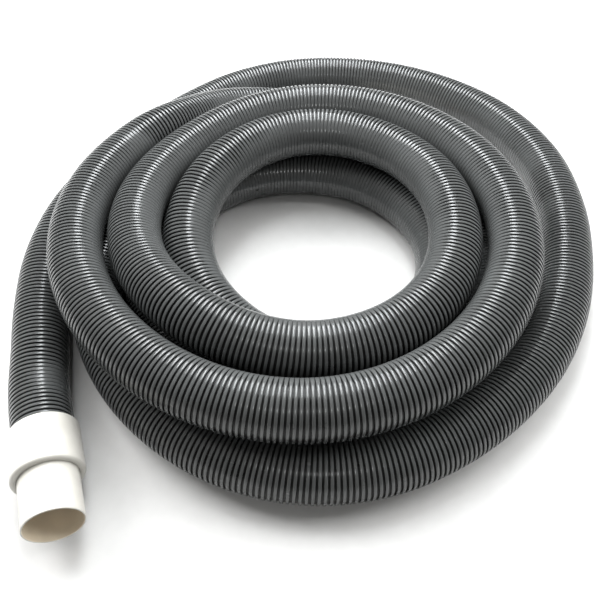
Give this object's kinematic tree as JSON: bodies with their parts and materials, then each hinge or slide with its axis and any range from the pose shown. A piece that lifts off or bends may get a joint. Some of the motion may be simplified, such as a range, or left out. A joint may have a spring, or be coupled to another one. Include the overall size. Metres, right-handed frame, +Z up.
{
  "type": "pool vacuum hose",
  "caption": "Ribbed, spiral-wound suction hose lying in a loose coil of two layers, with a swivelling stepped cuff on its free end and a fixed cuff on its far end.",
  "frame": {"origin": "on the ground, under the middle of the whole object's box", "axes": "+Z up from the ground; -Y towards the side that the swivel cuff's mouth points to; +X to the right when looking along +Y"},
  "size_m": [0.6885, 0.7497, 0.1246],
  "materials": {
    "hose_plastic": "mid-grey flexible plastic with a slight gloss, ribbed along a spiral",
    "cuff_plastic": "warm white moulded plastic, semi-gloss, with fine moulding texture",
    "seal_rubber": "black rubber, matte",
    "washer_plastic": "ivory low-friction plastic"
  },
  "bodies": {
    "hose": {"hose_free_end": "hose_plastic", "hose_lower_outer_turn": "hose_plastic", "hose_lower_middle_turn": "hose_plastic", "hose_lower_inner_turn": "hose_plastic", "hose_upper_inner_turn": "hose_plastic", "hose_upper_outer_turn": "hose_plastic", "hose_tail": "hose_plastic", "swivel_collar": "cuff_plastic", "thrust_washer": "washer_plastic", "seal_ring": "seal_rubber", "retaining_ring": "cuff_plastic", "fixed_cuff": "cuff_plastic", "fixed_cuff_gasket": "seal_rubber"},
    "spigot": {"swivel_spigot": "cuff_plastic"}
  },
  "joints": [
    {"name": "cuff_swivel", "type": "hinge", "parent": "hose", "child": "spigot", "pos_m": [-0.24984, -0.31064, 0.0357], "axis": [0.354, -0.9322, 0.0755], "continuous": true}
  ]
}
